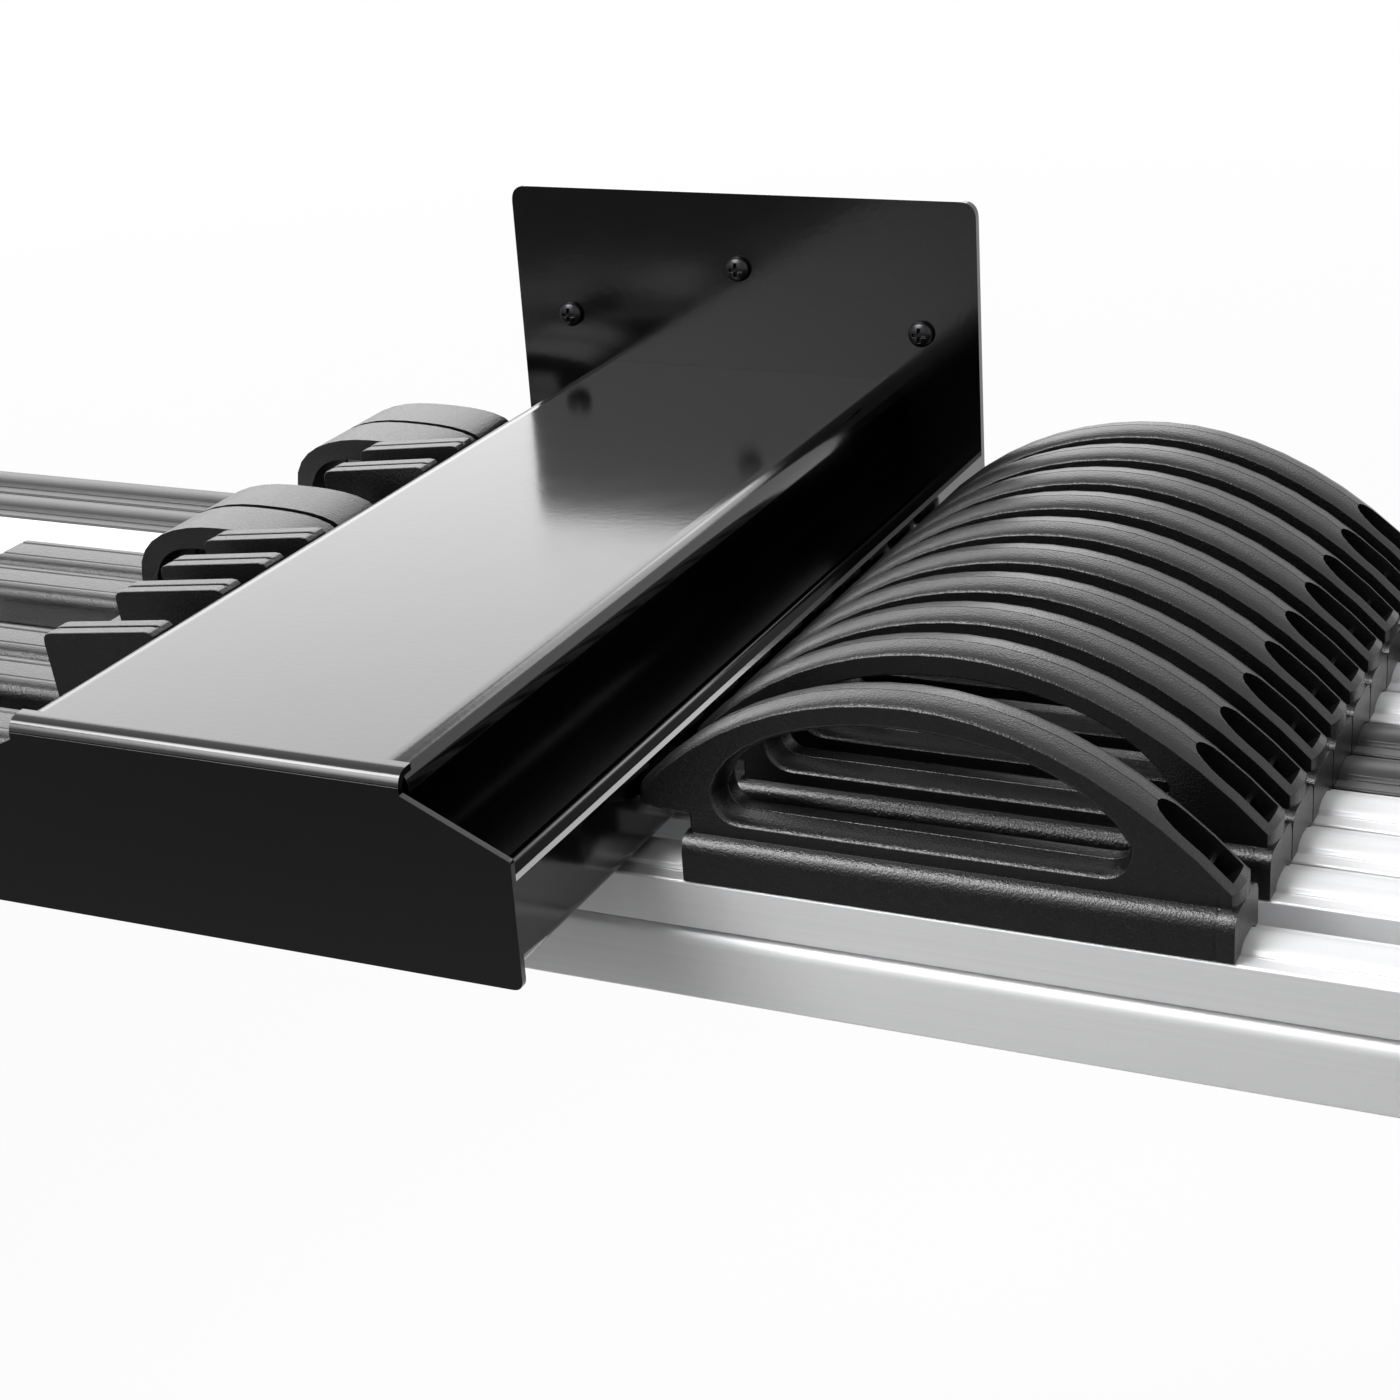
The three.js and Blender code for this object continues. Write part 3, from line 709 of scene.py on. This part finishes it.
class RACK_OT_mould_grips(bpy.types.Operator):
    """Rounds the hand grips and cuts their parting lines and the seams of their end collars"""

    bl_idname = "rack.mould_grips"
    bl_label = "Mould Grips"

    def execute(self, context):
        settings = context.scene.rack_mould
        skin = mould_finish(settings)
        for tag in BINDERS:
            node = f"grip_{tag}"
            low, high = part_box(node)
            middle = (low.y + high.y) / 2
            shape = merged_copy(node)
            round_edges(shape, settings.fillet, segments=4, keep=self.on_ledge)
            round_edges(shape, settings.rim, segments=5, keep=lambda edge: self.on_rim(edge, middle))
            round_edges(shape, settings.edge)
            self.cut_parting_line(shape, middle, settings)
            self.cut_seam(shape, high.x - settings.seam_from_end, low.z, settings)
            make_piece(shape, f"moulded_grip_{tag}", node, skin)
        return {"FINISHED"}

    def on_ledge(self, edge):
        """True for the two long corners where the arch stands on its saddle."""
        ends = [vert.co for vert in edge.verts]
        level = all(abs(end.z - SADDLE_TOP) < LEDGE_NEAR for end in ends)
        return level and abs(ends[0].x - ends[1].x) > LEDGE_NEAR

    def on_rim(self, edge, middle):
        """True for the edges of the arch's two faces, short of the hollow in the sloping end."""
        return all(
            abs(abs(vert.co.y - middle) - ARCH_HALF) < RIM_NEAR
            and vert.co.z > SADDLE_TOP + LEDGE_NEAR and vert.co.x < HOLLOW_START
            for vert in edge.verts
        )

    def cut_parting_line(self, shape, middle, settings):
        """The line along the arch and round the slot, clear of the hollow in the sloping end."""
        cut_groove(
            shape, Y_AXIS, middle, settings.parting_width, settings.parting_depth,
            lambda vert: vert.co.z > SADDLE_TOP and vert.co.x < HOLLOW_START,
        )

    def cut_seam(self, shape, x, foot, settings):
        """The seam of the end collar, down the sides and over the shoulders of the saddle."""
        cut_groove(
            shape, X_AXIS, x, settings.seam_width, settings.seam_depth,
            lambda vert: foot < vert.co.z < SADDLE_TOP and vert.normal.z > UNDERSIDE,
        )


class RACK_OT_mould_hooks(bpy.types.Operator):
    """Rounds the wings and hoops that hang over the lip, and grooves their long saddles"""

    bl_idname = "rack.mould_hooks"
    bl_label = "Mould Hooks"

    def execute(self, context):
        settings = context.scene.rack_mould
        skin = mould_finish(settings)
        for tag in BINDERS:
            node = f"hook_{tag}"
            low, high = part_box(node)
            shape = merged_copy(node)
            round_edges(shape, settings.hoop_edge if tag in BLACK_BINDERS else settings.edge)
            for share in RIB_SHARES:
                self.cut_rib(shape, low.y + share * (high.y - low.y), settings)
            make_piece(shape, f"moulded_hook_{tag}", node, skin)
        return {"FINISHED"}

    def cut_rib(self, shape, y, settings):
        """A groove along the top of a long saddle."""
        cut_groove(
            shape, Y_AXIS, y, settings.rib_width, settings.rib_depth,
            lambda vert: abs(vert.co.z - SADDLE_TOP) < TOP_NEAR and vert.co.x < RIBS_END,
        )


class RACK_OT_draw_bars(bpy.types.Operator):
    """Rounds and anodises the rails and jaws, and brightens the hinge pins"""

    bl_idname = "rack.draw_bars"
    bl_label = "Finish Bars"

    def execute(self, context):
        settings = context.scene.rack_bar
        steel_settings = context.scene.rack_steel
        silver = bar_finish(
            "silver_anodised", settings.silver, settings.silver_roughness,
            settings.silver_metal, settings.silver_index,
        )
        black = bar_finish(
            "black_anodised", settings.black, settings.black_roughness,
            settings.black_metal, settings.black_index,
        )
        steel = steel_finish("bright_steel_pin", steel_settings.pin, steel_settings.pin_roughness)
        for tag in BINDERS:
            skin, slot = (black, "black_bar") if tag in BLACK_BINDERS else (silver, "silver_bar")
            for kind in ("rail", "jaw"):
                node = f"{kind}_{tag}"
                shape = merged_copy(node)
                round_edges(shape, settings.edge)
                if kind == "rail":
                    self.cut_line(shape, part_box(node)[0].y + settings.line_from_front, settings)
                make_piece(shape, f"drawn_{node}", node, skin)
            shape = merged_copy(f"jaw_pin_{tag}")
            round_edges(shape, steel_settings.pin_edge, TURNED_TURN)
            make_piece(shape, f"hinge_pin_{tag}", f"jaw_pin_{tag}", steel)
        return {"FINISHED"}

    def cut_line(self, shape, y, settings):
        """The line along the rounded top of a rail."""
        cut_groove(
            shape, Y_AXIS, y, settings.line_width, settings.line_depth,
            lambda vert: vert.normal.z > UPWARD,
        )


OPERATORS = (
    RACK_OT_set_stage,
    RACK_OT_paint_sheet,
    RACK_OT_drive_screws,
    RACK_OT_mould_grips,
    RACK_OT_mould_hooks,
    RACK_OT_draw_bars,
)
SETTINGS = {
    "rack_stage": RackStageSettings,
    "rack_paint": RackPaintSettings,
    "rack_steel": RackSteelSettings,
    "rack_mould": RackMouldSettings,
    "rack_bar": RackBarSettings,
}


class RACK_PT_finish(bpy.types.Panel):
    """Lists the finishing steps and their settings"""

    bl_idname = "RACK_PT_finish"
    bl_label = "Plan Rack Finish"
    bl_space_type = "VIEW_3D"
    bl_region_type = "UI"
    bl_category = "Plan Rack"

    def draw(self, context):
        for operator in OPERATORS:
            self.layout.operator(operator.bl_idname)
        for name in SETTINGS:
            group = getattr(context.scene, name)
            box = self.layout.box()
            for prop in group.__annotations__:
                box.prop(group, prop)


CLASSES = (*SETTINGS.values(), *OPERATORS, RACK_PT_finish)


def register():
    for cls in CLASSES:
        bpy.utils.register_class(cls)
    for name, group in SETTINGS.items():
        setattr(bpy.types.Scene, name, bpy.props.PointerProperty(type=group))


def unregister():
    for name in SETTINGS:
        delattr(bpy.types.Scene, name)
    for cls in reversed(CLASSES):
        bpy.utils.unregister_class(cls)


def main():
    register()
    bpy.ops.rack.set_stage()
    bpy.ops.rack.paint_sheet()
    bpy.ops.rack.drive_screws()
    bpy.ops.rack.mould_grips()
    bpy.ops.rack.mould_hooks()
    bpy.ops.rack.draw_bars()


if __name__ == "__main__":
    main()
